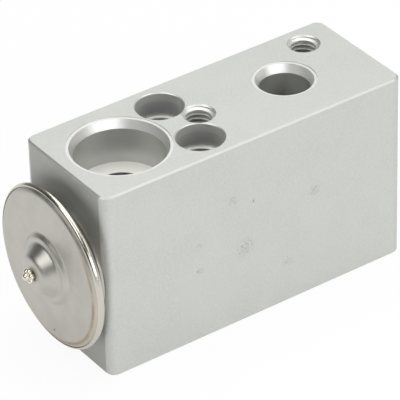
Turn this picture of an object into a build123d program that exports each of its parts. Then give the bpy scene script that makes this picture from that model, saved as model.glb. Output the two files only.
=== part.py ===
from build123d import *

import os
from math import acos, cos, radians, sin, sqrt, tan

# Block-type thermostatic expansion valve, in millimetres.
# The block lies on its evaporator face. The origin is the centre of that face, +Z points to the
# compressor face with its two ports, and +X runs along the block, away from the diaphragm head.
# The head, the valve pin, the ball and the adjusting screw share one axis along X.

# ---- block ----
block_length = 70.0
block_width = 26.8
block_height = 41.1
corner_radius = 2.0            # extruded corners, which run along Z
edge_break = 0.35              # chamfer along the two milled faces
axis_height = 20.3             # valve axis above the evaporator face

# ---- ports: a shallow rim, a tapered lead-in for an O-ring, a bore and a narrower passage ----
port_rim_width = 0.6
port_rim_depth = 0.2
lead_in_width = 0.75
lead_in_depth = 1.7
suction_x = -22.25
suction_bore_radius = 8.9
suction_bore_depth = 9.4
suction_passage_radius = 5.1
evaporator_bore_depth = 8.4    # both ports of the evaporator face
liquid_x = 16.5
liquid_bore_radius = 5.05
liquid_bore_depth = 9.4
liquid_passage_radius = 4.0
outlet_x = 4.6
outlet_bore_radius = 6.0
outlet_passage_radius = 3.4
passage_overrun = 2.5          # how far a drilled passage runs past the valve axis

# ---- mounting holes ----
bolt_x = -8.35
bolt_pitch = 13.5
bolt_hole_radius = 4.2
bolt_recess_radius = 4.75
bolt_recess_depth = 5.4
hole_chamfer = 0.2
stud_places = [(-3.9, 0.0), (27.15, 8.0)]
stud_radius = 3.0              # M6
stud_clearance = 0.05
stud_mouth_chamfer = 0.3
stud_hole_depth = 12.0
stud_drill_radius = 2.5
stud_drill_overrun = 1.5
drill_tip_angle = 118.0
cut_overrun = 1.0              # how far a slot cutter runs past the piece

# ---- diaphragm head ----
head_standoff = 3.725          # block end face to diaphragm
diaphragm_thickness = 0.15
diaphragm_setback = 0.35       # its edge inside the cover's edge
corrugation_count = 3
corrugation_height = 0.16
cover_radius = 16.3
cover_thickness = 0.75
cover_flange_width = 1.7       # clamped edge, outside the field
cover_dish_height = 0.2        # hollow behind the field
cover_shoulder_width = 0.8     # sloping outer edge
cover_shoulder_round = 1.5
cover_edge_height = 0.3
cover_edge_round = 0.25
swage_foot_radius = 7.4        # step pressed round the dome
swage_radius = 6.5
swage_height = 0.75
swage_round = 0.8
dome_foot_radius = 5.6
dome_top_radius = 3.4
dome_height = 3.5              # above the cover's face
dome_top_round = 1.7
dome_foot_round = 0.8
fill_hole_radius = 0.6
plug_radius = 1.2
plug_tip_radius = 0.95
plug_head_round = 0.6
plug_height = 2.0
bead_radius = 0.75             # rolled rim, its lip over the cover's edge
bead_inset = 0.15              # bead centre inside the cover's edge
bead_setback = 0.225           # bead centre behind the diaphragm
lip_gap = 0.03                 # radial, lip to cover's edge
base_thickness = 1.0
base_cone_width = 2.2          # the dish, down to the flat shoulder on the block
neck_radius = 9.4              # thread of the head
neck_clearance = 0.1
neck_length = 5.8
neck_wall = 1.8
neck_bore_depth = 6.3
neck_chamfer = 0.6
head_ring_section = 1.6        # O-ring in a corner groove round the neck
head_ring_clearance = 0.03
head_groove_depth = 1.7

# ---- diaphragm pad, sensing rod and pin ----
valve_lift = 0.8               # ball travel
pad_radius = 9.3
pad_stop_gap = 0.1             # pad to shoulder at full lift
pad_boss_radius = 4.6
pad_boss_height = 2.0
rod_radius = 3.0
rod_fit = 0.02                 # radial, rod in pad and pin in rod
rod_socket_depth = 2.4
rod_end_gap = 0.75             # rod end to the side of the suction passage
rod_chamfer = 0.4
rod_hole_radius = 4.9
sleeve_wall = 1.0
sleeve_end_gap = 2.2           # sleeve end to pad boss and to rod end
pin_radius = 1.2
pin_tip_radius = 0.9
pin_tip_length = 0.3
pin_socket_depth = 5.0
pin_running_fit = 0.05

# ---- pin seal ----
seal_section = 1.85
seal_gap = 0.03
gland_radius = 3.2
gland_depth = 4.3
washer_thickness = 0.6
washer_bore_clearance = 0.2
clip_thickness = 0.35
clip_bore_radius = 2.0
clip_tooth_count = 8
clip_slot_width = 0.5
clip_rim_width = 0.45

# ---- valve seat, ball and carrier ----
orifice_radius = 2.4
seat_x = 9.0
seat_half_angle = 30.0
seat_outer_radius = 3.5
ball_radius = 3.0
ball_seat_gap = 0.02
chamber_radius = 6.6
socket_gap = 0.01
socket_wrap = 1.2              # ball centre to the carrier's rim
carrier_rim_radius = 3.3
carrier_neck_length = 1.5
carrier_flange_radius = 5.4
carrier_flange_thickness = 1.2
carrier_pilot_length = 1.8
damper_thickness = 0.25
damper_finger_count = 6
damper_slot_width = 1.6
damper_finger_length = 3.2
damper_wall_gap = 0.05
damper_bend_radius = 0.7

# ---- bias spring and adjusting screw ----
wire_radius = 0.6
coil_radius = 4.4
coil_turns = 5.5
spring_length = 9.0
spring_pilot_gap = 0.3         # coil to the pilots inside it
seat_disc_radius = 5.6
seat_disc_thickness = 1.2
seat_pilot_length = 1.6
screw_thread_radius = 7.0
thread_clearance = 0.05
adjuster_travel = 1.0          # one turn of the screw each way from the set point
thread_relief = 0.25           # left over at each end of that travel
nose_clearance = 0.08
screw_thread_length = 3.9
screw_chamfer = 0.5
screw_mouth_chamfer = 0.6
screw_ring_section = 1.5
screw_ring_inset = 0.5         # screw's front face to its O-ring groove
screw_ring_gap = 0.04
socket_across_flats = 8.0
socket_depth = 4.0

# ---- derived radii of the head, from the cover's edge inwards ----
diaphragm_radius = cover_radius - diaphragm_setback
bead_centre_radius = cover_radius - bead_inset
cavity_radius = cover_radius - cover_flange_width
base_cone_radius = cavity_radius - base_cone_width

# ---- derived places along X, on the valve axis ----
half_length = block_length / 2
diaphragm_x = -half_length - head_standoff
cover_back_x = diaphragm_x - diaphragm_thickness / 2
base_front_x = diaphragm_x + diaphragm_thickness / 2
neck_bore_end_x = -half_length + neck_bore_depth
passage_side_x = suction_x + suction_passage_radius
rod_end_x = passage_side_x - rod_end_gap
gland_end_x = passage_side_x + gland_depth
shoulder_inner_x = -half_length - base_thickness
pad_front_x = base_front_x
pad_back_x = shoulder_inner_x - valve_lift - pad_stop_gap
seat_slope = radians(seat_half_angle)
ball_x = seat_x + (ball_radius + ball_seat_gap - orifice_radius * cos(seat_slope)) / sin(seat_slope)
seat_end_x = seat_x + (seat_outer_radius - orifice_radius) / tan(seat_slope)
carrier_front_x = ball_x + socket_wrap
flange_front_x = carrier_front_x + carrier_neck_length
flange_back_x = flange_front_x + carrier_flange_thickness
spring_start_x = flange_back_x + damper_thickness
spring_end_x = spring_start_x + spring_length
screw_front_x = spring_end_x + seat_disc_thickness
spring_pilot_radius = coil_radius - wire_radius - spring_pilot_gap
ring_groove_width = screw_ring_section + 2 * screw_ring_gap
ring_groove_end_x = screw_front_x + screw_ring_inset + ring_groove_width
tapped_start_x = ring_groove_end_x + adjuster_travel + thread_relief
thread_start_x = tapped_start_x + adjuster_travel + thread_relief
screw_back_x = thread_start_x + screw_thread_length


def on_axis(shape):
    """Lifts a piece from the X axis to the valve axis."""
    return Pos(0, 0, axis_height) * shape


def turned(points, radii=0.0):
    """Solid of revolution about the valve axis from corners (x, radius), rounded by radii."""
    outline = FilletPolyline(*points, radius=radii, close=True)
    return on_axis(revolve(make_face(outline), Axis.X))


def turned_exact(points):
    """Solid of revolution about the valve axis from sharp corners (x, radius)."""
    return on_axis(revolve(make_face(Polyline(*points, close=True)), Axis.X))


def o_ring(centre_x, centre_radius, section_radius):
    section = Pos(centre_x, centre_radius) * Circle(section_radius)
    return on_axis(revolve(section, Axis.X))


def drilled(points):
    """Cutter turned about Z from corners (radius, z)."""
    profile = make_face(Polyline(*points, close=True))
    return revolve(Plane.XZ * profile, Axis.Z)


def port_cutter(bore_radius, bore_depth):
    """Port with its mouth at Z = 0 and its bore going down."""
    mouth_radius = bore_radius + lead_in_width
    rim_radius = mouth_radius + port_rim_width
    return drilled(
        [
            (0, port_rim_depth),
            (rim_radius, port_rim_depth),
            (rim_radius, -port_rim_depth),
            (mouth_radius, -port_rim_depth),
            (bore_radius, -port_rim_depth - lead_in_depth),
            (bore_radius, -bore_depth),
            (0, -bore_depth),
        ]
    )


def passage(x, radius, bottom, top):
    return Pos(x, 0, (bottom + top) / 2) * Cylinder(radius, top - bottom)


def stud_cutter():
    """Blind tapped hole: chamfered mouth, full thread, tapping drill and its tip."""
    wall = stud_radius + stud_clearance
    drill_end = stud_hole_depth + stud_drill_overrun
    tip = stud_drill_radius / tan(radians(drill_tip_angle / 2))
    return drilled(
        [
            (0, stud_mouth_chamfer),
            (wall + 2 * stud_mouth_chamfer, stud_mouth_chamfer),
            (wall, -stud_mouth_chamfer),
            (wall, -stud_hole_depth),
            (stud_drill_radius, -stud_hole_depth),
            (stud_drill_radius, -drill_end),
            (0, -drill_end - tip),
        ]
    )


def bolt_cutter():
    """Through hole with a deep recess in the compressor face and a broken edge at each mouth."""
    recess_mouth = bolt_recess_radius + hole_chamfer
    hole_mouth = bolt_hole_radius + hole_chamfer
    return drilled(
        [
            (0, block_height + hole_chamfer),
            (recess_mouth + hole_chamfer, block_height + hole_chamfer),
            (bolt_recess_radius, block_height - hole_chamfer),
            (bolt_recess_radius, block_height - bolt_recess_depth),
            (bolt_hole_radius, block_height - bolt_recess_depth),
            (bolt_hole_radius, hole_chamfer),
            (hole_mouth + hole_chamfer, -hole_chamfer),
            (0, -hole_chamfer),
        ]
    )


def head_bore_cutter():
    """Corner groove, tapped bore and rod hole under the head, then the gland of the pin seal."""
    groove_radius = neck_radius + neck_clearance + head_ring_section + 2 * head_ring_clearance
    bore_radius = neck_radius + neck_clearance
    return turned_exact(
        [
            (-half_length - head_groove_depth, 0),
            (-half_length - head_groove_depth, groove_radius),
            (-half_length + head_groove_depth, groove_radius),
            (-half_length + head_groove_depth, bore_radius),
            (neck_bore_end_x, bore_radius),
            (neck_bore_end_x, rod_hole_radius),
            (suction_x, rod_hole_radius),
            (suction_x, gland_radius),
            (gland_end_x, gland_radius),
            (gland_end_x, 0),
        ]
    )


def valve_bore_cutter():
    """Pin bore, orifice, conical seat, ball chamber and the tapped end for the adjusting screw."""
    pin_bore_radius = pin_radius + pin_running_fit
    tapped_radius = screw_thread_radius + thread_clearance
    return turned_exact(
        [
            (suction_x, 0),
            (suction_x, pin_bore_radius),
            (outlet_x, pin_bore_radius),
            (outlet_x, orifice_radius),
            (seat_x, orifice_radius),
            (seat_end_x, seat_outer_radius),
            (seat_end_x, chamber_radius),
            (tapped_start_x, chamber_radius),
            (tapped_start_x, tapped_radius),
            (half_length - screw_mouth_chamfer, tapped_radius),
            (half_length + screw_mouth_chamfer, tapped_radius + 2 * screw_mouth_chamfer),
            (half_length + screw_mouth_chamfer, 0),
        ]
    )


def make_valve_body():
    footprint = RectangleRounded(block_length, block_width, corner_radius)
    block = extrude(footprint, block_height)
    milled_edges = block.faces().sort_by(Axis.Z)[-1].edges() + block.faces().sort_by(Axis.Z)[0].edges()
    block = chamfer(milled_edges, edge_break)

    upward = Pos(0, 0, block_height)
    downward = Rot(180, 0, 0)
    suction_floor = block_height - suction_bore_depth
    liquid_floor = block_height - liquid_bore_depth
    block -= upward * Pos(suction_x, 0, 0) * port_cutter(suction_bore_radius, suction_bore_depth)
    block -= upward * Pos(liquid_x, 0, 0) * port_cutter(liquid_bore_radius, liquid_bore_depth)
    block -= Pos(suction_x, 0, 0) * downward * port_cutter(suction_bore_radius, evaporator_bore_depth)
    block -= Pos(outlet_x, 0, 0) * downward * port_cutter(outlet_bore_radius, evaporator_bore_depth)
    block -= passage(suction_x, suction_passage_radius, evaporator_bore_depth, suction_floor)
    block -= passage(liquid_x, liquid_passage_radius, axis_height - passage_overrun, liquid_floor)
    block -= passage(outlet_x, outlet_passage_radius, evaporator_bore_depth, axis_height + passage_overrun)

    for side in (-1, 1):
        block -= Pos(bolt_x, side * bolt_pitch / 2, 0) * bolt_cutter()
    for x, y in stud_places:
        block -= upward * Pos(x, y, 0) * stud_cutter()
    block -= head_bore_cutter()
    block -= valve_bore_cutter()
    return block


def make_head_cover():
    """Pressed disc: clamped flange with a sloping shoulder, hollow field, swaged step and dome."""
    face_x = cover_back_x - cover_dish_height - cover_thickness
    step_x = face_x - swage_height
    top_x = face_x - dome_height
    wall = cover_thickness
    outside = [
        (top_x, fill_hole_radius, 0),
        (top_x, dome_top_radius, dome_top_round),
        (step_x, dome_foot_radius, dome_foot_round),
        (step_x, swage_radius, swage_round),
        (face_x, swage_foot_radius, swage_round),
        (face_x, cover_radius - cover_shoulder_width, cover_shoulder_round),
        (cover_back_x - cover_edge_height, cover_radius, cover_edge_round),
    ]
    inside = [
        (cover_back_x, cover_radius, 0),
        (cover_back_x, cavity_radius, 0),
        (cover_back_x - cover_dish_height, cavity_radius - cover_dish_height, 0),
        (face_x + wall, swage_foot_radius - wall / 2, 0),
        (step_x + wall, swage_radius - wall / 2, 0),
        (step_x + wall, dome_foot_radius - wall / 2, 0),
        (top_x + wall, dome_top_radius - wall / 2, dome_top_round - wall),
        (top_x + wall, fill_hole_radius, 0),
    ]
    corners = outside + inside
    return turned([(x, r) for x, r, _ in corners], [rounding for _, _, rounding in corners])


def make_fill_plug():
    """Plug pressed into the charge hole, with its squeezed and welded head outside."""
    top_x = cover_back_x - cover_dish_height - cover_thickness - dome_height
    return turned(
        [
            (top_x - plug_height, 0),
            (top_x - plug_height, plug_tip_radius),
            (top_x - plug_height / 2, plug_radius),
            (top_x, plug_radius),
            (top_x, fill_hole_radius),
            (top_x + cover_thickness, fill_hole_radius),
            (top_x + cover_thickness, 0),
        ],
        [0, plug_head_round, 0, 0, 0, 0, 0],
    )


def make_diaphragm():
    """Thin disc with concentric corrugations between the pad and the clamped edge."""
    first = pad_radius + diaphragm_thickness
    last = cavity_radius - 2 * diaphragm_thickness
    half_wave = (last - first) / (2 * corrugation_count)

    def side(face_x):
        edges = [Line((face_x, 0), (face_x, first))]
        for index in range(2 * corrugation_count):
            low = first + index * half_wave
            swing = corrugation_height if index % 2 else -corrugation_height
            edges.append(
                ThreePointArc((face_x, low), (face_x + swing, low + half_wave / 2), (face_x, low + half_wave))
            )
        return edges + [Line((face_x, last), (face_x, diaphragm_radius))]

    front_x = diaphragm_x - diaphragm_thickness / 2
    back_x = diaphragm_x + diaphragm_thickness / 2
    rim = Line((front_x, diaphragm_radius), (back_x, diaphragm_radius))
    centre = Line((front_x, 0), (back_x, 0))
    return on_axis(revolve(make_face(side(front_x) + side(back_x) + [rim, centre]), Axis.X))


def make_head_base():
    """Dished shell: rolled rim bead, cone, flat shoulder on the block and hollow threaded neck."""
    bead_x = diaphragm_x + bead_setback
    cone_x = bead_x + bead_radius
    lip_radius = cover_radius + lip_gap
    neck_end_x = -half_length + neck_length
    shell = turned_exact(
        [
            (base_front_x, bead_centre_radius),
            (base_front_x, cavity_radius),
            (cone_x - base_thickness / 2, cavity_radius - base_thickness / 2),
            (shoulder_inner_x, base_cone_radius - base_thickness),
            (shoulder_inner_x, neck_radius - neck_wall),
            (neck_end_x, neck_radius - neck_wall),
            (neck_end_x, neck_radius - neck_chamfer),
            (neck_end_x - neck_chamfer, neck_radius),
            (-half_length, neck_radius),
            (-half_length, base_cone_radius),
            (-half_length - base_thickness / 2, base_cone_radius),
            (cone_x, cavity_radius),
            (cone_x, bead_centre_radius),
        ]
    )
    ring = revolve(Pos(bead_x, bead_centre_radius) * Circle(bead_radius), Axis.X)
    cover_room = turned_exact(
        [
            (base_front_x - bead_radius, 0),
            (base_front_x - bead_radius, lip_radius),
            (base_front_x, lip_radius),
            (base_front_x, 0),
        ]
    )
    return shell + (on_axis(ring) - cover_room)


def make_head_seal():
    section_radius = head_ring_section / 2
    centre_radius = neck_radius + neck_clearance + head_ring_clearance + section_radius
    return o_ring(-half_length + head_ring_clearance + section_radius, centre_radius, section_radius)


def make_diaphragm_pad():
    boss_x = pad_back_x + pad_boss_height
    socket_x = boss_x - rod_socket_depth
    socket_radius = rod_radius + rod_fit
    return turned_exact(
        [
            (pad_front_x, 0),
            (pad_front_x, pad_radius - rod_chamfer),
            (pad_front_x + rod_chamfer, pad_radius),
            (pad_back_x, pad_radius),
            (pad_back_x, pad_boss_radius),
            (boss_x, pad_boss_radius),
            (boss_x, socket_radius),
            (socket_x, socket_radius),
            (socket_x, 0),
        ]
    )


def make_sensing_rod():
    start_x = pad_back_x + pad_boss_height - rod_socket_depth
    hole_radius = pin_radius + rod_fit
    return turned_exact(
        [
            (start_x, 0),
            (start_x, rod_radius - rod_chamfer),
            (start_x + rod_chamfer, rod_radius),
            (rod_end_x - rod_chamfer, rod_radius),
            (rod_end_x, rod_radius - rod_chamfer),
            (rod_end_x, hole_radius),
            (rod_end_x - pin_socket_depth, hole_radius),
            (rod_end_x - pin_socket_depth, 0),
        ]
    )


def make_rod_sleeve():
    start_x = pad_back_x + pad_boss_height + sleeve_end_gap
    end_x = rod_end_x - sleeve_end_gap
    inner_radius = rod_radius + rod_fit
    return turned_exact(
        [
            (start_x, inner_radius),
            (start_x, rod_radius + sleeve_wall),
            (end_x, rod_radius + sleeve_wall),
            (end_x, inner_radius),
        ]
    )


def make_push_pin():
    start_x = rod_end_x - pin_socket_depth
    end_x = ball_x - ball_radius
    return turned_exact(
        [
            (start_x, 0),
            (start_x, pin_radius),
            (end_x - pin_tip_length, pin_radius),
            (end_x, pin_tip_radius),
            (end_x, 0),
        ]
    )


def seal_centre_x():
    return gland_end_x - seal_gap - seal_section / 2


def washer_back_x():
    return seal_centre_x() - seal_section / 2 - seal_gap


def make_rod_seal():
    return o_ring(seal_centre_x(), pin_radius + seal_gap + seal_section / 2, seal_section / 2)


def make_seal_washer():
    back_x = washer_back_x()
    outer_radius = gland_radius - seal_gap
    return turned_exact(
        [
            (back_x - washer_thickness, pin_radius + washer_bore_clearance),
            (back_x - washer_thickness, outer_radius),
            (back_x, outer_radius),
            (back_x, pin_radius + washer_bore_clearance),
        ]
    )


def make_seal_clip():
    """Toothed ring: slots cut inwards from its edge leave teeth that grip the gland wall."""
    back_x = washer_back_x() - washer_thickness
    outer_radius = gland_radius
    ring = turned_exact(
        [
            (back_x - clip_thickness, clip_bore_radius),
            (back_x - clip_thickness, outer_radius),
            (back_x, outer_radius),
            (back_x, clip_bore_radius),
        ]
    )
    slot_inner = clip_bore_radius + clip_rim_width
    slot_depth = outer_radius - slot_inner + cut_overrun
    slot_length = 2 * (clip_thickness + cut_overrun)
    for index in range(clip_tooth_count):
        slot = Pos(back_x, 0, slot_inner + slot_depth / 2) * Box(slot_length, clip_slot_width, slot_depth)
        ring -= on_axis(Rot(index * 360 / clip_tooth_count, 0, 0) * slot)
    return ring


def make_valve_ball():
    return Pos(ball_x, 0, axis_height) * Sphere(ball_radius)


def make_ball_carrier():
    """Cup that holds the ball, flange under the spring and pilot inside the spring."""
    pilot_end_x = flange_back_x + carrier_pilot_length
    cup_radius = ball_radius + socket_gap
    cup_bottom = (ball_x + cup_radius, 0)
    half_wrap = acos(socket_wrap / cup_radius) / 2
    cup_middle = (ball_x + cup_radius * cos(half_wrap), cup_radius * sin(half_wrap))
    cup_edge = (carrier_front_x, sqrt(cup_radius**2 - socket_wrap**2))
    outside = Polyline(
        cup_edge,
        (carrier_front_x, carrier_rim_radius),
        (flange_front_x, carrier_rim_radius),
        (flange_front_x, carrier_flange_radius),
        (flange_back_x, carrier_flange_radius),
        (flange_back_x, spring_pilot_radius),
        (pilot_end_x - screw_chamfer, spring_pilot_radius),
        (pilot_end_x, spring_pilot_radius - screw_chamfer),
        (pilot_end_x, 0),
        cup_bottom,
    )
    cup = ThreePointArc(cup_bottom, cup_middle, cup_edge)
    return on_axis(revolve(make_face([outside, cup]), Axis.X))


def make_damper_spring():
    """Flat ring under the coil spring, with fingers bent forward along the chamber wall."""
    outer = chamber_radius - damper_wall_gap
    inner = outer - damper_thickness
    back_x = spring_start_x
    front_x = back_x - damper_thickness
    tip_x = front_x - damper_finger_length
    bend = damper_bend_radius
    ring = turned(
        [
            (front_x, spring_pilot_radius),
            (front_x, inner),
            (tip_x, inner),
            (tip_x, outer),
            (back_x, outer),
            (back_x, spring_pilot_radius),
        ],
        [0, bend - damper_thickness, 0, 0, bend, 0],
    )
    slot_inner = carrier_flange_radius
    slot_depth = outer - slot_inner + cut_overrun
    slot_centre = (tip_x + back_x) / 2
    slot_length = back_x - tip_x + 2 * cut_overrun
    for index in range(damper_finger_count):
        cutter = Box(slot_length, damper_slot_width, slot_depth)
        slot = Pos(slot_centre, 0, slot_inner + slot_depth / 2) * cutter
        ring -= on_axis(Rot((index + 0.5) * 360 / damper_finger_count, 0, 0) * slot)
    return ring


def make_bias_spring():
    """Round wire coil with both ends ground flat."""
    pitch = spring_length / coil_turns
    path = Helix(pitch, spring_length + pitch / 2, coil_radius)
    profile = Plane(origin=path @ 0, z_dir=path % 0) * Circle(wire_radius)
    coil = sweep(profile, path=path, is_frenet=True)
    coil = Pos(0, 0, -pitch / 4) * coil
    ends = Pos(0, 0, spring_length / 2) * Cylinder(coil_radius + 2 * wire_radius, spring_length)
    return Pos(spring_start_x, 0, axis_height) * Rot(0, 90, 0) * (coil & ends)


def make_spring_seat():
    pilot_x = spring_end_x - seat_pilot_length
    return turned_exact(
        [
            (pilot_x, 0),
            (pilot_x, spring_pilot_radius - screw_chamfer),
            (pilot_x + screw_chamfer, spring_pilot_radius),
            (spring_end_x, spring_pilot_radius),
            (spring_end_x, seat_disc_radius),
            (screw_front_x, seat_disc_radius),
            (screw_front_x, 0),
        ]
    )


def make_adjuster_seal():
    centre_radius = chamber_radius - screw_ring_gap - screw_ring_section / 2
    centre_x = ring_groove_end_x - ring_groove_width / 2
    return o_ring(centre_x, centre_radius, screw_ring_section / 2)


def make_adjusting_screw():
    nose_radius = chamber_radius - nose_clearance
    groove_radius = chamber_radius - 2 * screw_ring_gap - screw_ring_section
    groove_start_x = ring_groove_end_x - ring_groove_width
    screw = turned_exact(
        [
            (screw_front_x, 0),
            (screw_front_x, nose_radius),
            (groove_start_x, nose_radius),
            (groove_start_x, groove_radius),
            (ring_groove_end_x, groove_radius),
            (ring_groove_end_x, nose_radius),
            (thread_start_x, nose_radius),
            (thread_start_x, screw_thread_radius),
            (screw_back_x - screw_chamfer, screw_thread_radius),
            (screw_back_x, screw_thread_radius - screw_chamfer),
            (screw_back_x, 0),
        ]
    )
    hexagon = RegularPolygon(socket_across_flats / 2, 6, major_radius=False)
    socket = extrude(hexagon, socket_depth)
    return screw - Pos(screw_back_x - socket_depth, 0, axis_height) * Rot(0, 90, 0) * socket


pieces = {
    "valve_body": make_valve_body,
    "head_cover": make_head_cover,
    "fill_plug": make_fill_plug,
    "diaphragm": make_diaphragm,
    "head_base": make_head_base,
    "head_seal": make_head_seal,
    "diaphragm_pad": make_diaphragm_pad,
    "sensing_rod": make_sensing_rod,
    "rod_sleeve": make_rod_sleeve,
    "push_pin": make_push_pin,
    "rod_seal": make_rod_seal,
    "seal_washer": make_seal_washer,
    "seal_clip": make_seal_clip,
    "valve_ball": make_valve_ball,
    "ball_carrier": make_ball_carrier,
    "damper_spring": make_damper_spring,
    "bias_spring": make_bias_spring,
    "spring_seat": make_spring_seat,
    "adjuster_seal": make_adjuster_seal,
    "adjusting_screw": make_adjusting_screw,
}

os.makedirs("parts", exist_ok=True)
for name, make_piece in pieces.items():
    export_step(make_piece(), f"parts/{name}.step")
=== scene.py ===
from math import cos, pi, radians, sin, tau

import bmesh
import bpy
from mathutils import Euler, Matrix, Vector


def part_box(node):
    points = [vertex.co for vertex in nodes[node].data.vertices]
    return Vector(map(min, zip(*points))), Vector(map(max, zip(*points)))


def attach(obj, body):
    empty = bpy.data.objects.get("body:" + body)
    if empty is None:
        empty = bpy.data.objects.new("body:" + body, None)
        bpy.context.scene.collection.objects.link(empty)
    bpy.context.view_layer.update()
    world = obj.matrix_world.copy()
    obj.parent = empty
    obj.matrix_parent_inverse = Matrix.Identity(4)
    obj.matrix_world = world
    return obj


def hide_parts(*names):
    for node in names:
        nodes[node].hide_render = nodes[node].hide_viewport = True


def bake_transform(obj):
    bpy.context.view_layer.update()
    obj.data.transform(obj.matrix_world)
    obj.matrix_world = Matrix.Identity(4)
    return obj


# Block-type thermostatic expansion valve. Lengths are in millimetres until a mesh is finished.
# +X runs along the block away from the diaphragm head, and +Z points to the open ports.

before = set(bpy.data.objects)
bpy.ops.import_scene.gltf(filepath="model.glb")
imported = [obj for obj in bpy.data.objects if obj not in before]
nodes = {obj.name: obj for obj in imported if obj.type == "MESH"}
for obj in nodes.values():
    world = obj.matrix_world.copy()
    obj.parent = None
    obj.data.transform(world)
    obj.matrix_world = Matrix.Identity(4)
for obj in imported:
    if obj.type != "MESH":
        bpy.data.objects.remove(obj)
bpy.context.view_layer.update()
scene = bpy.context.scene
MM = 0.001


# ---- studio ----
# A pale floor with no edge in sight, large soft lights overhead, in front and to the left, and a weak
# one in front on the right. The long lens stands well back, so the block's edges stay near parallel.

camera_place = Vector((-318.455, -456.351, 399.198))
camera_turn = (55.6881, 1.3876, -35.5005)
floor_half_width = 6000.0
floor_drop = 0.02  # keeps the floor clear of the block's underside
table_radius = 150.0
table_fade_radius = 900.0

scene.view_settings.view_transform = "Standard"

camera_data = bpy.data.cameras.new("camera")
camera_data.sensor_width = 36.0
camera_data.lens = 311.08
camera_data.clip_start = 0.01
camera_data.clip_end = 20.0
camera = bpy.data.objects.new("camera", camera_data)
camera.location = camera_place * MM
camera.rotation_euler = Euler([radians(angle) for angle in camera_turn])
scene.collection.objects.link(camera)
scene.camera = camera


class Value:
    """A number that varies over a surface: wraps a node's socket, so that sums are written as sums."""

    def __init__(self, finish, socket):
        self.finish = finish
        self.socket = socket

    def output(self, name):
        """Another output of the same node."""
        return Value(self.finish, self.socket.node.outputs[name])

    def maths(self, operation, *others):
        sockets = dict(enumerate((self, *others)))
        return self.finish.node("ShaderNodeMath", {"operation": operation}, sockets)

    def __add__(self, other):
        return self.maths("ADD", other)

    __radd__ = __add__

    def __mul__(self, other):
        return self.maths("MULTIPLY", other)

    __rmul__ = __mul__

    def __sub__(self, other):
        return self.maths("SUBTRACT", other)

    def __rsub__(self, other):
        return self.finish.node("ShaderNodeMath", {"operation": "SUBTRACT"}, {0: other, 1: self})

    def above(self, low, high):
        """0 below low, 1 above high and smooth between them. low may be the larger one."""
        sockets = {"Value": self, "From Min": low, "From Max": high}
        return self.finish.node("ShaderNodeMapRange", {"interpolation_type": "SMOOTHSTEP"}, sockets)

    def near(self, centre, half_width, softness):
        """1 within half_width of centre, and 0 beyond the soft edge."""
        away = (self - centre).maths("ABSOLUTE")
        return away.above(half_width + softness, half_width)


class Finish:
    """The nodes of one material or world, all made by node()."""

    def __init__(self, owner):
        self.owner = owner
        owner.use_nodes = True
        self.tree = owner.node_tree
        self.tree.nodes.clear()

    def node(self, kind, settings=None, sockets=None, output=0):
        made = self.tree.nodes.new(kind)
        for key, value in (settings or {}).items():
            setattr(made, key, value)
        for key, value in (sockets or {}).items():
            socket = made.inputs[key]
            if isinstance(value, Value):
                self.tree.links.new(value.socket, socket)
            elif socket.type == "RGBA":
                socket.default_value = (*value, 1.0)
            else:
                socket.default_value = value
        return Value(self, made.outputs[output]) if made.outputs else None

    def surface(self, shader, end="ShaderNodeOutputMaterial"):
        self.node(end, None, {"Surface": shader})
        return self.owner

    def place(self, centre=(0.0, 0.0, 0.0)):
        """Object coordinates in millimetres, with centre as their origin."""
        point = self.node("ShaderNodeTexCoord", output="Object")
        sockets = {"Vector": point, "Location": [-part for part in centre], "Scale": (1 / MM,) * 3}
        return self.node("ShaderNodeMapping", {"vector_type": "POINT"}, sockets)

    def split(self, vector):
        parts = self.node("ShaderNodeSeparateXYZ", None, {"Vector": vector})
        return [parts.output(axis) for axis in "XYZ"]

    def join(self, x, y, z):
        return self.node("ShaderNodeCombineXYZ", None, {"X": x, "Y": y, "Z": z})

    def noise(self, vector, scale, detail=2.0, roughness=0.5):
        sockets = {"Vector": vector, "Scale": scale, "Detail": detail, "Roughness": roughness}
        return self.node("ShaderNodeTexNoise", None, sockets)

    def tint(self, factor, first, second):
        """The colour first where factor is 0, second where it is 1."""
        # A mix node keeps its colour sockets after those for numbers and vectors.
        sockets = {0: factor, 6: first, 7: second}
        return self.node("ShaderNodeMix", {"data_type": "RGBA"}, sockets, output=2)

    def relief(self, height, depth):
        """Bump from a height between 0 and 1 that stands for depth in millimetres."""
        sockets = {"Height": height, "Distance": depth * MM, "Strength": 1.0}
        return self.node("ShaderNodeBump", None, sockets)

    def shader(self, colour, roughness, normal=None, metallic=1.0):
        sockets = {"Base Color": colour, "Roughness": roughness, "Metallic": metallic}
        if normal is not None:
            sockets["Normal"] = normal
        return self.node("ShaderNodeBsdfPrincipled", None, sockets)


floor_shape = bmesh.new()
bmesh.ops.create_grid(floor_shape, x_segments=1, y_segments=1, size=floor_half_width * MM)
bmesh.ops.translate(floor_shape, verts=floor_shape.verts, vec=(0.0, 0.0, -floor_drop * MM))
floor_mesh = bpy.data.meshes.new("floor")
floor_shape.to_mesh(floor_mesh)
floor_shape.free()
floor = bpy.data.objects.new("floor", floor_mesh)
scene.collection.objects.link(floor)

# The camera sees the floor nearly white, and reflections see it lit only close to the block.
paper = Finish(bpy.data.materials.new("floor_paper"))
ray = paper.node("ShaderNodeLightPath")
floor_x, floor_y, _ = paper.split(paper.place())
near_block = (floor_x * floor_x + floor_y * floor_y).above(table_fade_radius**2, table_radius**2)
white_share = ray.output("Is Camera Ray") * 0.93 + ray.output("Is Glossy Ray") * near_block * 0.5
matte_paper = paper.node("ShaderNodeBsdfDiffuse", None, {"Color": (0.86, 0.86, 0.86)})
plain_white = paper.node("ShaderNodeEmission", None, {"Color": (1.0, 1.0, 1.0), "Strength": 1.0})
paper_shader = paper.node("ShaderNodeMixShader", None, {0: white_share, 1: matte_paper, 2: plain_white})
floor.data.materials.append(paper.surface(paper_shader))

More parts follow.
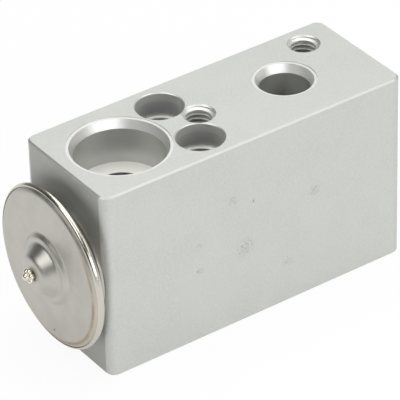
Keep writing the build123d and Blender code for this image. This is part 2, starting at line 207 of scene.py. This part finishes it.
# The surround is dim behind the head and brightens towards +X.
surround = Finish(bpy.data.worlds.new("surround"))
scene.world = surround.owner
toward_x, _, _ = surround.split(surround.node("ShaderNodeTexCoord", output="Generated"))
brightness = surround.node(
    "ShaderNodeMapRange",
    None,
    {"Value": toward_x, "From Min": -0.7, "From Max": 0.7, "To Min": 0.04, "To Max": 0.42},
)
backdrop = surround.node("ShaderNodeBackground", None, {"Color": (1.0, 1.0, 1.0), "Strength": brightness})
surround.surface(backdrop, end="ShaderNodeOutputWorld")


def soft_light(name, place, size, power):
    """Rectangular light, with place and size in metres, turned towards the block's middle."""
    data = bpy.data.lights.new(name, "AREA")
    data.shape = "RECTANGLE"
    data.size, data.size_y = size
    data.energy = power
    light = bpy.data.objects.new(name, data)
    light.location = place
    block_middle = Vector((0.0, 0.0, 0.02))
    light.rotation_euler = (block_middle - Vector(place)).to_track_quat("-Z", "Y").to_euler()
    scene.collection.objects.link(light)


soft_light("overhead", place=(0.15, 0.10, 0.75), size=(0.9, 0.9), power=4.9)
soft_light("front", place=(-0.1, -0.85, 0.33), size=(1.2, 0.45), power=3.9)
soft_light("left", place=(-0.68, -0.02, 0.66), size=(0.75, 0.55), power=2.6)
soft_light("front_right", place=(0.40, -0.50, 0.58), size=(0.35, 0.35), power=0.6)


# ---- block ----
# Extruded aluminium bar, cut to length, milled and drilled, then blasted and clear anodised to an
# even matte. Ports, recesses and inner bores were turned afterwards and show the tool's rings.

half_length, half_width, top_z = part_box("valve_body")[1] / MM
valve_axis_z = sum(corner.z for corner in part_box("valve_ball")) / 2 / MM
corner_radius = 2.0
edge_break = 0.35
suction_x = -22.25
liquid_x = 16.5
outlet_x = 4.6
bolt_x = -8.35
bolt_y = 6.75
turned_depth = 20.0
lead_in_depth = 2.1

# Each hole is its x, its y and the radius that the turning tool reached.
compressor_ports = [(suction_x, 0.0, 10.25), (liquid_x, 0.0, 6.4)]
evaporator_ports = [(suction_x, 0.0, 10.25), (outlet_x, 0.0, 7.35)]
bolt_recesses = [(bolt_x, -bolt_y, 4.97), (bolt_x, bolt_y, 4.97)]
stud_holes = [(-3.9, 0.0, 3.35), (27.15, 8.0, 3.35)]

# Each ledge is the x, y and radius of a flat floor and its depth below the top.
ledges = [(suction_x, 0.0, 8.9, 9.4), (liquid_x, 0.0, 5.1, 9.4)]
ledges += [(hole_x, hole_y, reach, 5.4) for hole_x, hole_y, reach in bolt_recesses]

# Each rubbed place on the front is its x, its z and its radius.
rubbed_places = [
    (-6.0, 29.0, 1.5),
    (-1.0, 27.0, 0.7),
    (-14.0, 22.0, 0.7),
    (-3.0, 17.0, 3.0),
    (-14.0, 16.0, 1.2),
    (7.0, 9.5, 1.7),
    (13.5, 23.5, 1.8),
]

blasted = Finish(bpy.data.materials.new("blasted_aluminium"))
block_place = blasted.place()
x, y, z = blasted.split(block_place)
below_top = top_z - z


def distance_in_plane(across, along, centre):
    first = across - centre[0]
    second = along - centre[1]
    return (first * first + second * second).maths("SQRT")


def highest(values):
    result = values[0]
    for value in values[1:]:
        result = result.maths("MAXIMUM", value)
    return result


turned_zones = []
tool_paths = []
for holes, below_face in ((compressor_ports + bolt_recesses + stud_holes, below_top), (evaporator_ports, z)):
    for hole_x, hole_y, reach in holes:
        away = distance_in_plane(x, y, (hole_x, hole_y))
        inside = away.above(reach + 0.02, reach - 0.02) * below_face.above(0.01, 0.05)
        inside = inside * below_face.above(turned_depth, turned_depth - 0.1)
        turned_zones.append(inside)
        tool_paths.append(inside * (away + below_face * 0.8))
turned = highest(turned_zones)
tool_path = blasted.join(highest(tool_paths), 0.0, 0.0)
tool_rings = blasted.noise(tool_path, scale=5.5, detail=4.0, roughness=0.65)

# Painted highlight: the top 2.1 mm of every turned hole, its lip included, is coloured lighter than the bore
# below it.
lead_in_top = below_top.above(lead_in_depth, lead_in_depth - 0.3)
lead_in_bottom = z.above(lead_in_depth, lead_in_depth - 0.3)
lip_highlight = turned * (lead_in_top + lead_in_bottom)
# Painted light: the walls of the two bolt recesses are coloured lighter than the other turned holes, against
# the shade inside them.
recess_light_walls = []
for hole_x, hole_y, reach in bolt_recesses:
    recess_light_walls.append(distance_in_plane(x, y, (hole_x, hole_y)).above(reach + 0.1, reach) * turned)
recess_light = highest(recess_light_walls)
# Painted light: the flat ledge floors are coloured near white and made almost non-metallic, so they show as
# lit as the top face.
ledge_light_faces = []
for hole_x, hole_y, reach, depth in ledges:
    on_ledge = distance_in_plane(x, y, (hole_x, hole_y)).above(reach, reach - 0.1)
    ledge_light_faces.append(on_ledge * below_top.near(depth, 0.1, 0.1))
ledge_light = highest(ledge_light_faces)

# from_side is 0 on the four rounded sides of the bar and negative within it.
corner_x = (x.maths("ABSOLUTE") - (half_length - corner_radius)).maths("MAXIMUM", 0.0)
corner_y = (y.maths("ABSOLUTE") - (half_width - corner_radius)).maths("MAXIMUM", 0.0)
from_side = (corner_x * corner_x + corner_y * corner_y).maths("SQRT") - corner_radius
from_middle = from_side + z.maths("MAXIMUM", below_top)
# Painted highlight: the broken edges round the top face are coloured lighter than the skin, and are a little
# smoother.
edge_highlight = from_middle.above(top_z - edge_break - 0.03, top_z - edge_break)
# Painted shade: both end faces of the bar are coloured darker than the rest of its anodised skin.
end_shade = x.maths("ABSOLUTE").above(half_length - 0.02, half_length - 0.005)
front = y.above(-half_width + 0.05, -half_width + 0.02)

rub_patches = []
for rub_x, rub_z, reach in rubbed_places:
    rub_patches.append(distance_in_plane(x, z, (rub_x, rub_z)).above(reach, 0.0))
rubs = highest(rub_patches) * front
specks = blasted.noise(block_place, scale=2.4, detail=3.0, roughness=0.7)
marks = rubs * specks.above(0.57, 0.63)
rub_place = blasted.join(x * 2.2 + z * 0.3, 0.0, z * 0.9)
rub_grain = blasted.noise(rub_place, scale=1.0, detail=3.0, roughness=0.7)
rubs = rubs * rub_grain.above(0.46, 0.6)

grain = blasted.noise(block_place, scale=7.0, detail=3.0, roughness=0.6)
clouds = blasted.noise(block_place, scale=0.12)
speckle = blasted.noise(block_place, scale=2.6, detail=4.0, roughness=0.75)
colour = blasted.tint(clouds.above(0.35, 0.65), (0.615, 0.625, 0.595), (0.635, 0.645, 0.61))
# The lip, recess, ledge, end and edge layers here are painted light and shade; speckle, turned tone, rubs
# and marks are the metal's own.
block_layers = [
    (speckle.above(0.35, 0.7), (0.68, 0.69, 0.66)),
    (turned, (0.59, 0.60, 0.585)),
    (recess_light, (0.73, 0.74, 0.73)),
    (lip_highlight, (0.82, 0.82, 0.80)),
    (ledge_light, (0.94, 0.93, 0.87)),
    (end_shade, (0.50, 0.505, 0.485)),
    (edge_highlight, (0.68, 0.68, 0.66)),
    (rubs * 0.55, (0.46, 0.46, 0.44)),
    (marks, (0.24, 0.235, 0.225)),
]
for mask, shade in block_layers:
    colour = blasted.tint(mask, colour, shade)
roughness = 0.58 + (grain - 0.5) * 0.1 - turned * 0.12 - edge_highlight * 0.08 + end_shade * 0.04
skin = blasted.relief(grain * (1.0 - turned) + tool_rings * turned, depth=0.012)
# The ledges' low metallic is part of their painted light.
block_shader = blasted.shader(colour, roughness, skin, metallic=1.0 - ledge_light * 0.9)
nodes["valve_body"].data.materials[0] = blasted.surface(block_shader)


# ---- threads of the two M6 holes ----
# Cut with a tap after anodising, so the flanks are bare bright aluminium. The chamfer at the mouth
# trims the first turn away.

thread_pitch = 1.0
thread_turns = 11
thread_wall = 3.1
thread_crest = 2.5
root_half_width = 0.4
crest_half_width = 0.08
thread_offset = 0.3
thread_start = 260.0  # degrees round the hole, so the thread starts on its -Y side
mouth_depth = 0.25
mouth_slope = 1.3
wall_overlap = 0.05  # how far a trimmed crest sinks into the wall
steps_per_turn = 48


def add_piece(name, shape, material):
    """Turns a bmesh in millimetres into a finished piece at the origin."""
    bmesh.ops.scale(shape, vec=(MM, MM, MM), verts=shape.verts)
    mesh = bpy.data.meshes.new(name)
    shape.to_mesh(mesh)
    shape.free()
    mesh.materials.append(material)
    piece = bpy.data.objects.new(name, mesh)
    scene.collection.objects.link(piece)
    return piece


tapped = Finish(bpy.data.materials.new("tapped_aluminium"))
tap_grain = tapped.noise(tapped.place(), scale=6.0, detail=3.0)
tap_relief = tapped.relief(tap_grain, depth=0.01)
tapped.surface(tapped.shader((0.72, 0.72, 0.70), 0.44 + tap_grain * 0.12, tap_relief))

section = [
    (thread_wall, -root_half_width),
    (thread_crest, -crest_half_width),
    (thread_crest, crest_half_width),
    (thread_wall, root_half_width),
]
for number, (hole_x, hole_y, _) in enumerate(stud_holes, 1):
    thread = bmesh.new()
    corners = [thread.verts.new((radius, 0.0, along)) for radius, along in section]
    for first, second in zip(corners, corners[1:] + corners[:1]):
        thread.edges.new((first, second))
    bmesh.ops.spin(
        thread,
        geom=thread.verts[:] + thread.edges[:],
        cent=(0.0, 0.0, 0.0),
        axis=(0.0, 0.0, 1.0),
        dvec=(0.0, 0.0, -thread_pitch / steps_per_turn),
        angle=-tau * thread_turns,
        steps=steps_per_turn * thread_turns,
        use_merge=False,
        use_duplicate=False,
    )
    bmesh.ops.holes_fill(thread, edges=[edge for edge in thread.edges if edge.is_boundary], sides=4)
    bmesh.ops.recalc_face_normals(thread, faces=thread.faces)
    turn_to_start = Matrix.Rotation(radians(thread_start), 3, "Z")
    bmesh.ops.rotate(thread, verts=thread.verts, cent=(0.0, 0.0, 0.0), matrix=turn_to_start)
    for vert in thread.verts:
        vert.co.z = min(vert.co.z - thread_offset, -mouth_depth)
        mouth_radius = thread_wall + mouth_slope * (vert.co.z + mouth_depth + wall_overlap)
        vert.co.xy *= max(1.0, min(thread_wall + wall_overlap, mouth_radius) / vert.co.xy.length)
    bmesh.ops.translate(thread, verts=thread.verts, vec=(hole_x, hole_y, top_z))
    crests = add_piece(f"stud_thread_{number}", thread, tapped.owner)
    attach(crests, "housing")


# ---- head cover ----
# Stainless disc pressed to a dome with a swaged step round it, then clamped under the rim. Its face
# has the satin of rolled sheet, finger smudges, a pit, and a brown heat tint where the rim was welded.

heat_radius = 15.35
straw_radius = 15.4
pit_place = (-1.3, -13.6)
pit_radius = 0.32

satin = Finish(bpy.data.materials.new("satin_stainless"))
cover_place = satin.place((0.0, 0.0, valve_axis_z))
depth_x, cover_y, cover_z = satin.split(cover_place)
away = distance_in_plane(cover_y, cover_z, (0.0, 0.0))
smudges = satin.noise(cover_place, scale=0.22, detail=3.0, roughness=0.55)
streak_place = satin.join(depth_x * 0.2, cover_y * 1.2, cover_z * 0.25)
streaks = satin.noise(streak_place, scale=1.6, detail=3.0, roughness=0.6)
heat_side = (cover_y * -1.0 - cover_z * 0.6).above(2.0, 12.0)
heat = away.near(heat_radius, 0.08, 0.45) * heat_side * smudges.above(0.25, 0.55)
straw_side = (cover_y * -0.4 - cover_z).above(0.0, 12.0)
straw = away.near(straw_radius, 0.4, 1.0) * straw_side
pit = distance_in_plane(cover_y, cover_z, pit_place).above(pit_radius, 0.15)
colour = satin.tint(smudges.above(0.35, 0.7), (0.50, 0.485, 0.445), (0.57, 0.555, 0.51))
colour = satin.tint(straw * 0.35, colour, (0.56, 0.49, 0.36))
colour = satin.tint(heat * 0.75, colour, (0.34, 0.25, 0.17))
colour = satin.tint(pit * 0.85, colour, (0.05, 0.045, 0.04))
roughness = 0.36 + smudges.above(0.4, 0.75) * 0.12 + (streaks - 0.5) * 0.08
skin = satin.relief(streaks * 0.5 - pit + 0.5, depth=0.008)
nodes["head_cover"].data.materials[0] = satin.surface(satin.shader(colour, roughness, skin))


# ---- head base ----
# Inner stainless shell. Its rolled rim holds the cover's edge and is welded right round, which
# leaves the bead bright and finely rippled. The shell behind it and its neck are as rolled.

bead_radius = 16.1
bead_x = -37.8

rolled = Finish(bpy.data.materials.new("thin_stainless"))
shell_place = rolled.place((0.0, 0.0, valve_axis_z))
shell_x, shell_y, shell_z = rolled.split(shell_place)
away = distance_in_plane(shell_y, shell_z, (0.0, 0.0))
ripple = rolled.noise(shell_place, scale=1.4)
bead = away.above(bead_radius - 0.2, bead_radius) * shell_x.above(bead_x + 0.2, bead_x)
colour = rolled.tint(bead, (0.50, 0.485, 0.45), (0.62, 0.59, 0.52))
roughness = 0.34 + (ripple - 0.5) * 0.1 - bead * 0.14
skin = rolled.relief(ripple, depth=0.02)
nodes["head_base"].data.materials[0] = rolled.surface(rolled.shader(colour, roughness, skin))


# ---- fill plug ----
# Stub of the charging tube, pinched shut, cut off and welded. The jaws leave it folded into bright
# lobes, so it is a small crumpled knob on the dome's flat top.

lobe_ring_x = -43.85
lobe_ring_radius = 0.92
lobe_ring_turns = (0.5, 1.7, 2.8, 4.1, 5.3)
stem_x = -43.35
stem_radius = 0.6
stem_length = 1.6

# Each lobe is its x, its place off the valve's axis in y and z, and its radius.
lobes = [(-44.46, 0.0, 0.1, 0.78), (-44.0, 0.1, -0.1, 0.9)]
for turn in lobe_ring_turns:
    lobes.append((lobe_ring_x, lobe_ring_radius * cos(turn), lobe_ring_radius * sin(turn), 0.62))
knob = bmesh.new()
for lobe_x, lobe_y, lobe_z, radius in lobes:
    lobe_place = Matrix.Translation((lobe_x, lobe_y, lobe_z + valve_axis_z))
    bmesh.ops.create_icosphere(knob, subdivisions=4, radius=radius, matrix=lobe_place)
bmesh.ops.create_cone(
    knob,
    cap_ends=True,
    segments=32,
    radius1=stem_radius,
    radius2=stem_radius,
    depth=stem_length,
    matrix=Matrix.Translation((stem_x, 0.0, valve_axis_z)) @ Matrix.Rotation(pi / 2, 4, "Y"),
)
for face in knob.faces:
    face.smooth = True

pinched = Finish(bpy.data.materials.new("pinched_stainless"))
pinch_noise = pinched.noise(pinched.place(), scale=1.1)
pinched.surface(pinched.shader((0.74, 0.70, 0.61), 0.08 + pinch_noise * 0.08))
plug = add_piece("pinched_plug", knob, pinched.owner)
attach(plug, "housing")
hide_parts("fill_plug")


# ---- pieces inside the block ----
# Diaphragm, sensing rod with its sleeve, pin, seals, ball, damper and the adjusting screw. Each has
# the plain finish it is made with: turned, rolled, drawn or moulded, with light grain.


def plain_metal(name, colour, roughness, grain_size, depth):
    finish = Finish(bpy.data.materials.new(name))
    spots = finish.noise(finish.place(), scale=1 / grain_size, detail=3.0, roughness=0.6)
    shade = finish.tint(spots, [0.94 * part for part in colour], colour)
    return finish.surface(finish.shader(shade, roughness + (spots - 0.5) * 0.1, finish.relief(spots, depth)))


def plain_moulding(name, colour, roughness, grain_size, depth):
    finish = Finish(bpy.data.materials.new(name))
    spots = finish.noise(finish.place(), scale=1 / grain_size)
    shade = finish.tint(spots, [0.85 * part for part in colour], colour)
    return finish.surface(finish.shader(shade, roughness, finish.relief(spots, depth), metallic=0.0))


turned_rod = plain_metal("turned_rod", (0.70, 0.70, 0.69), 0.35, grain_size=0.3, depth=0.006)
rolled_foil = plain_metal("rolled_foil", (0.62, 0.61, 0.59), 0.28, grain_size=0.5, depth=0.004)
polished_steel = plain_metal("polished_steel", (0.66, 0.66, 0.66), 0.14, grain_size=0.8, depth=0.002)
turned_brass = plain_metal("turned_brass", (0.70, 0.55, 0.31), 0.32, grain_size=0.35, depth=0.008)
sleeve_plastic = plain_moulding("sleeve_plastic", (0.07, 0.07, 0.075), 0.45, grain_size=0.6, depth=0.01)
seal_rubber = plain_moulding("seal_rubber", (0.03, 0.035, 0.032), 0.55, grain_size=0.4, depth=0.01)
inner_finishes = {
    turned_rod: ["diaphragm_pad", "sensing_rod"],
    rolled_foil: ["diaphragm", "seal_washer", "damper_spring", "seal_clip"],
    polished_steel: ["valve_ball", "push_pin"],
    turned_brass: ["adjusting_screw", "ball_carrier", "spring_seat"],
    sleeve_plastic: ["rod_sleeve"],
    seal_rubber: ["head_seal", "rod_seal", "adjuster_seal"],
}
for material, names in inner_finishes.items():
    for name in names:
        nodes[name].data.materials[0] = material


# ---- bias spring ----
# Spring steel wire coiled cold, with both ends ground flat. It is made as two halves that meet at mid
# length.

wire_radius = 0.6
coil_radius = 4.4
coil_turns = 5.5
ground_turns = 0.25  # of a turn beyond each end, which the grinding takes off
carrier_end, screw_end = (corner.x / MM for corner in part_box("bias_spring"))
mid_length = (carrier_end + screw_end) / 2
coil_pitch = (screw_end - carrier_end) / coil_turns
wound_turns = coil_turns + 2 * ground_turns

drawn_wire = plain_metal("drawn_wire", (0.45, 0.45, 0.46), 0.3, grain_size=0.4, depth=0.006)
wire_start = (carrier_end - coil_pitch * ground_turns, 0.0, valve_axis_z - coil_radius)
across_wire = Matrix.Translation(wire_start) @ Matrix.Rotation(pi / 2, 4, "X")

halves = [
    ("spring_carrier_half", carrier_end, -1.0, "valve_train"),
    ("spring_screw_half", screw_end, 1.0, "adjuster_carriage"),
]
for name, outer_end, outward, pressed_by in halves:
    coil = bmesh.new()
    bmesh.ops.create_circle(coil, segments=16, radius=wire_radius, matrix=across_wire)
    bmesh.ops.spin(
        coil,
        geom=coil.verts[:] + coil.edges[:],
        cent=(0.0, 0.0, valve_axis_z),
        axis=(1.0, 0.0, 0.0),
        dvec=(coil_pitch / steps_per_turn, 0.0, 0.0),
        angle=tau * wound_turns,
        steps=round(steps_per_turn * wound_turns),
        use_merge=False,
        use_duplicate=False,
    )
    for cut_x, cut_side in ((outer_end, outward), (mid_length, -outward)):
        bmesh.ops.bisect_plane(
            coil,
            geom=coil.verts[:] + coil.edges[:] + coil.faces[:],
            dist=1e-5,
            plane_co=(cut_x, 0.0, 0.0),
            plane_no=(cut_side, 0.0, 0.0),
            clear_outer=True,
        )
        bmesh.ops.holes_fill(coil, edges=[edge for edge in coil.edges if edge.is_boundary], sides=0)
    bmesh.ops.recalc_face_normals(coil, faces=coil.faces)
    half = add_piece(name, coil, drawn_wire)
    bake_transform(half)
    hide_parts("bias_spring")
